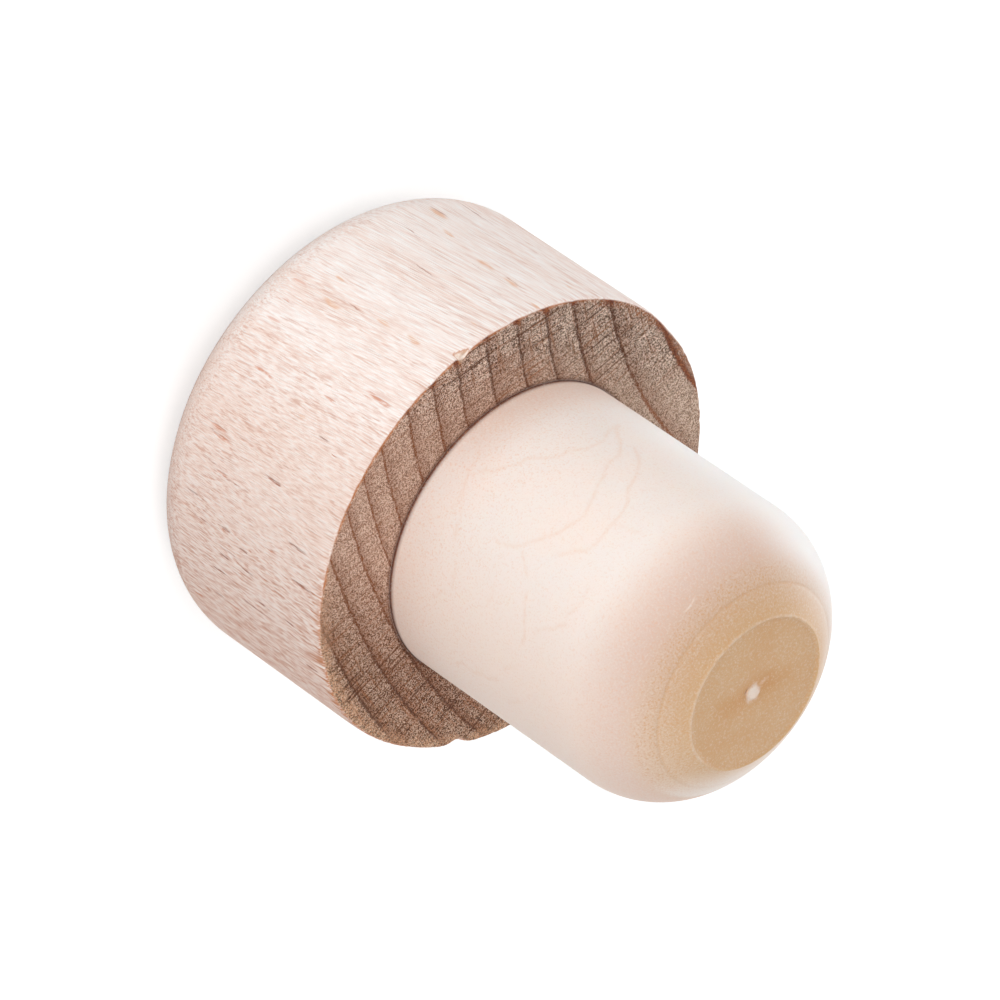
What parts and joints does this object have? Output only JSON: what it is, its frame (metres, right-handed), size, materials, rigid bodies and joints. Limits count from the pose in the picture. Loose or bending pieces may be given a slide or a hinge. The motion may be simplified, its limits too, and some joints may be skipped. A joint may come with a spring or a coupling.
{
  "type": "wooden bottle stopper",
  "caption": "Bottle stopper with a turned wooden head and a moulded elastomer plug that is pressed into the bottle's neck.",
  "frame": {"origin": "centre of the head's flat top, which the stopper stands on", "axes": "+Z along the stopper's axis, from the head to the tip of the plug; X and Y are free, because it is round"},
  "size_m": [0.0305, 0.0304, 0.0375],
  "materials": {
    "beech": "fine-sanded, unvarnished beech; side grain pale pink-cream, end grain grey-brown",
    "elastomer": "matt moulded elastomer, cream with faint tan marbling, tan at the tip"
  },
  "bodies": {
    "root": {"wooden_head": "beech", "stopper_shank": "elastomer"}
  },
  "joints": []
}
